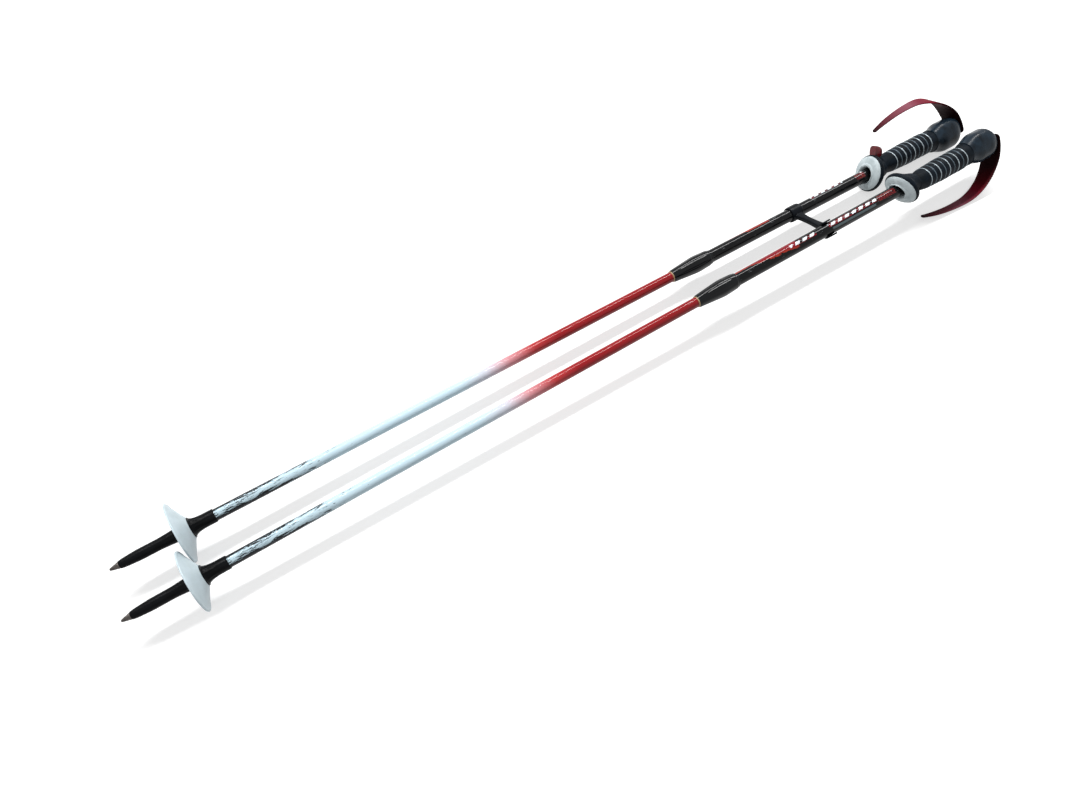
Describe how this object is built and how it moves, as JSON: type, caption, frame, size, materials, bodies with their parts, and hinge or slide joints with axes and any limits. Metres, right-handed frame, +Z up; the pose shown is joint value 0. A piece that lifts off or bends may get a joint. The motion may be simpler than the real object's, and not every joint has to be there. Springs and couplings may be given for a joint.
{
  "type": "pair of trekking poles",
  "caption": "Pair of telescopic trekking poles with twist locks, powder baskets and open hand guards, clipped side by side.",
  "frame": {"origin": "centre of the pair's bounding box, on the ground it lies on", "axes": "+X along the poles from the tips to the grips, +Y from the right pole to the left pole, +Z up"},
  "size_m": [1.3419, 0.1568, 0.0768],
  "materials": {
    "carbide_steel": "ground",
    "black_nylon": "moulded",
    "basket_plastic": "translucent moulded",
    "lower_tube_paint": "painted, pale blue fading to red",
    "plug_plastic": "moulded",
    "stud_steel": "turned",
    "expander_nylon": "moulded",
    "nut_steel": "blackened",
    "upper_tube_paint": "gloss painted with a flame pattern",
    "sleeve_plastic": "polished",
    "bush_plastic": "moulded",
    "grip_rubber": "matt",
    "disc_plastic": "moulded",
    "ring_silver": "silver inlay",
    "head_plastic": "satin",
    "guard_plastic": "translucent red fading to black",
    "screw_steel": "turned",
    "red_plastic": "translucent",
    "clip_plastic": "moulded"
  },
  "bodies": {
    "left_upper": {"left_upper_tube": "upper_tube_paint", "left_lock_sleeve": "sleeve_plastic", "left_sleeve_bush": "bush_plastic", "left_grip_body": "grip_rubber", "left_rest_disc": "disc_plastic", "left_grip_rings": "ring_silver", "left_grip_head": "head_plastic", "left_hand_guard": "guard_plastic", "left_guard_screw": "screw_steel", "left_red_tab": "red_plastic", "pole_clip": "clip_plastic"},
    "left_expander": {"left_expander": "expander_nylon"},
    "left_lower": {"left_lower_tube": "lower_tube_paint", "left_tube_plug": "plug_plastic", "left_lock_stud": "stud_steel", "left_stud_nut": "nut_steel", "left_tip_holder": "black_nylon", "left_steel_tip": "carbide_steel", "left_basket": "basket_plastic"},
    "right_upper": {"right_upper_tube": "upper_tube_paint", "right_lock_sleeve": "sleeve_plastic", "right_sleeve_bush": "bush_plastic", "right_grip_body": "grip_rubber", "right_rest_disc": "disc_plastic", "right_grip_rings": "ring_silver", "right_grip_head": "head_plastic", "right_hand_guard": "guard_plastic", "right_guard_screw": "screw_steel"},
    "right_expander": {"right_expander": "expander_nylon"},
    "right_lower": {"right_lower_tube": "lower_tube_paint", "right_tube_plug": "plug_plastic", "right_lock_stud": "stud_steel", "right_stud_nut": "nut_steel", "right_tip_holder": "black_nylon", "right_steel_tip": "carbide_steel", "right_basket": "basket_plastic"}
  },
  "joints": [
    {"name": "left_telescope", "type": "slide", "parent": "left_upper", "child": "left_expander", "axis": [-0.9999, 0, 0.0108], "range_m": [-0.3, 0.06]},
    {"name": "left_twist_lock", "type": "hinge", "parent": "left_expander", "child": "left_lower", "pos_m": [0.27694, 0.0305, 0.02817], "axis": [-0.9999, 0, 0.0108], "range_deg": [0, 360]},
    {"name": "right_unclip", "type": "slide", "parent": "left_upper", "child": "right_upper", "axis": [0, -0.454, 0.891], "range_m": [0, 0.06]},
    {"name": "right_telescope", "type": "slide", "parent": "right_upper", "child": "right_expander", "axis": [-0.9999, 0, -0.0123], "range_m": [-0.3, 0.06]},
    {"name": "right_twist_lock", "type": "hinge", "parent": "right_expander", "child": "right_lower", "pos_m": [0.26893, -0.0305, 0.04807], "axis": [-0.9999, 0, -0.0123], "range_deg": [0, 360]}
  ],
  "couplings": [
    {"joint": "right_telescope", "follows": "left_telescope", "ratio": 1}
  ]
}
